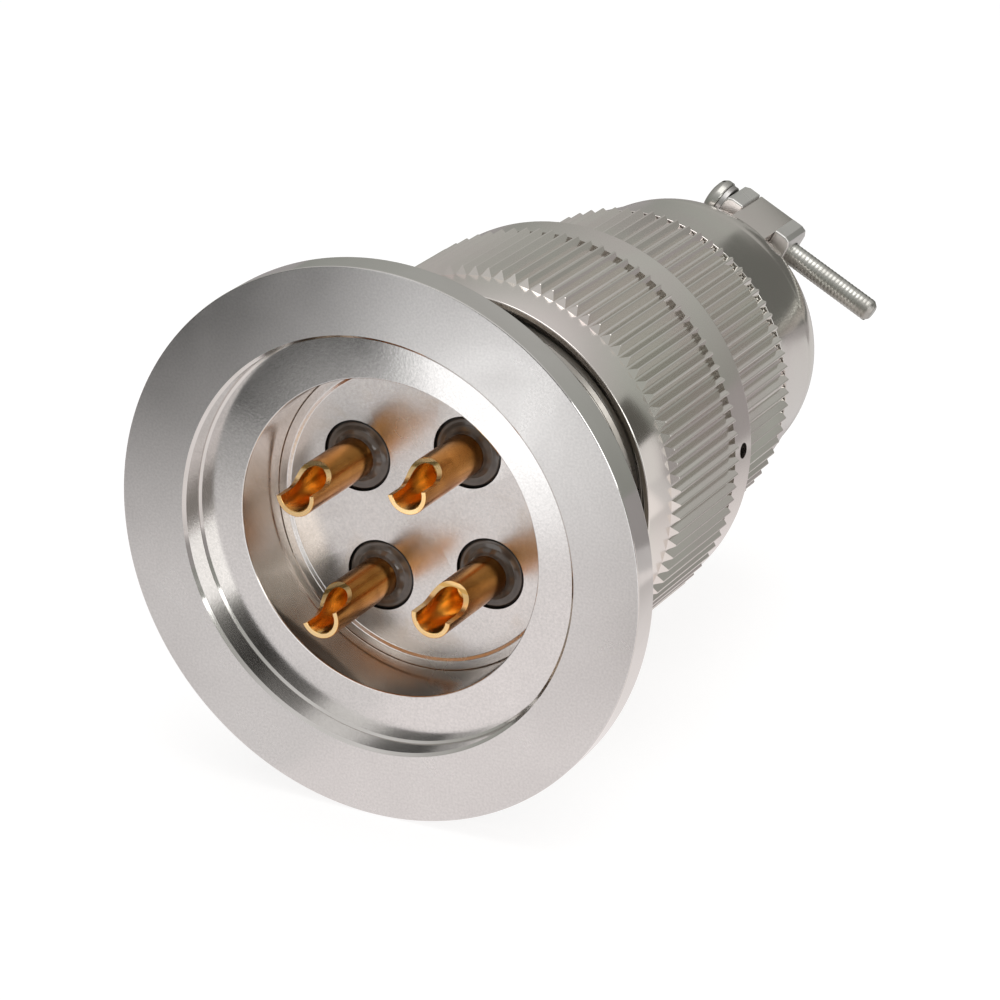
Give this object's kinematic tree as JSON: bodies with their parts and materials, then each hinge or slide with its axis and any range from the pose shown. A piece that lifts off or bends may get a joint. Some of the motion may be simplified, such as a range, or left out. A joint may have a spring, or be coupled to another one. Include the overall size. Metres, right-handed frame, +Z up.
{
  "type": "glass sealed connector",
  "caption": "Glass sealed electrical feedthrough on a clamped vacuum flange, mated with a knurled circular plug whose tail ends in a screw cable clamp.",
  "frame": {"origin": "centre of the flange's sealing face", "axes": "-Y points out of the vacuum face, +Y runs back along the connector to the cable outlet, +Z is up with the connector held level, +X is to the right seen from the vacuum side"},
  "size_m": [0.055, 0.0788, 0.055],
  "materials": {
    "flange_steel": "fine turned stainless steel, satin",
    "header_steel": "fine ground steel with a faint straw heat tint",
    "seal_glass": "dark fused glass, glossy",
    "gold_plate": "gold plated copper alloy",
    "nickel_plate": "bright nickel plate on turned aluminium alloy",
    "saddle_plate": "nickel plate, satin",
    "screw_steel": "plated steel, bright",
    "spring_steel": "plain spring steel",
    "black_rubber": "matt moulded rubber",
    "hard_insulator": "moulded plastic",
    "soft_insulator": "matt silicone rubber",
    "washer_plastic": "plain plastic"
  },
  "bodies": {
    "feedthrough": {"vacuum_flange": "flange_steel", "receptacle_shell": "header_steel", "glass_seal_1": "seal_glass", "glass_seal_2": "seal_glass", "glass_seal_3": "seal_glass", "glass_seal_4": "seal_glass", "contact_pin_1": "gold_plate", "contact_pin_2": "gold_plate", "contact_pin_3": "gold_plate", "contact_pin_4": "gold_plate", "interface_gasket": "black_rubber"},
    "plug": {"plug_shell": "nickel_plate", "front_insulator": "hard_insulator", "rear_insulator": "soft_insulator", "insulator_retaining_ring": "spring_steel", "socket_contact_1": "gold_plate", "socket_contact_2": "gold_plate", "socket_contact_3": "gold_plate", "socket_contact_4": "gold_plate", "thrust_washer": "washer_plastic"},
    "coupling_nut": {"coupling_nut": "nickel_plate", "nut_retaining_ring": "spring_steel"},
    "tail": {"endbell": "nickel_plate", "fixed_saddle": "saddle_plate", "cable_bush": "black_rubber", "union_retaining_ring": "spring_steel"},
    "union_nut": {"union_nut": "nickel_plate"},
    "clamp_bar": {"moving_saddle": "saddle_plate", "lock_washer_1": "screw_steel", "lock_washer_2": "screw_steel"},
    "clamp_screw_1": {"clamp_screw_1": "screw_steel"},
    "clamp_screw_2": {"clamp_screw_2": "screw_steel"}
  },
  "joints": [
    {"name": "plug_travel", "type": "slide", "parent": "feedthrough", "child": "plug", "axis": [0, 1, 0], "range_m": [0, 0.0105]},
    {"name": "coupling_nut_turn", "type": "hinge", "parent": "plug", "child": "coupling_nut", "pos_m": [0, 0.03, 0], "axis": [0, 1, 0], "range_deg": [0, 1260]},
    {"name": "tail_travel", "type": "slide", "parent": "plug", "child": "tail", "axis": [0, 1, 0], "range_m": [0, 0.008]},
    {"name": "union_nut_turn", "type": "hinge", "parent": "tail", "child": "union_nut", "pos_m": [0, 0.05, 0], "axis": [0, 1, 0], "range_deg": [0, 2880]},
    {"name": "clamp_bar_travel", "type": "slide", "parent": "tail", "child": "clamp_bar", "axis": [-0.878, 0, 0.4787], "range_m": [0, 0.0054]},
    {"name": "clamp_screw_1_turn", "type": "hinge", "parent": "clamp_bar", "child": "clamp_screw_1", "pos_m": [0.00618, 0.0733, 0.01133], "axis": [-0.878, 0, 0.4787], "range_deg": [0, 4320]},
    {"name": "clamp_screw_2_turn", "type": "hinge", "parent": "clamp_bar", "child": "clamp_screw_2", "pos_m": [-0.00618, 0.0733, -0.01133], "axis": [-0.878, 0, 0.4787], "range_deg": [0, 4320]}
  ],
  "couplings": [
    {"joint": "plug_travel", "follows": "coupling_nut_turn", "m_per_rad": 0.00047746},
    {"joint": "tail_travel", "follows": "union_nut_turn", "m_per_rad": 0.00015915},
    {"joint": "clamp_screw_1_turn", "follows": "clamp_bar_travel", "rad_per_m": 13963},
    {"joint": "clamp_screw_2_turn", "follows": "clamp_bar_travel", "rad_per_m": 13963}
  ]
}
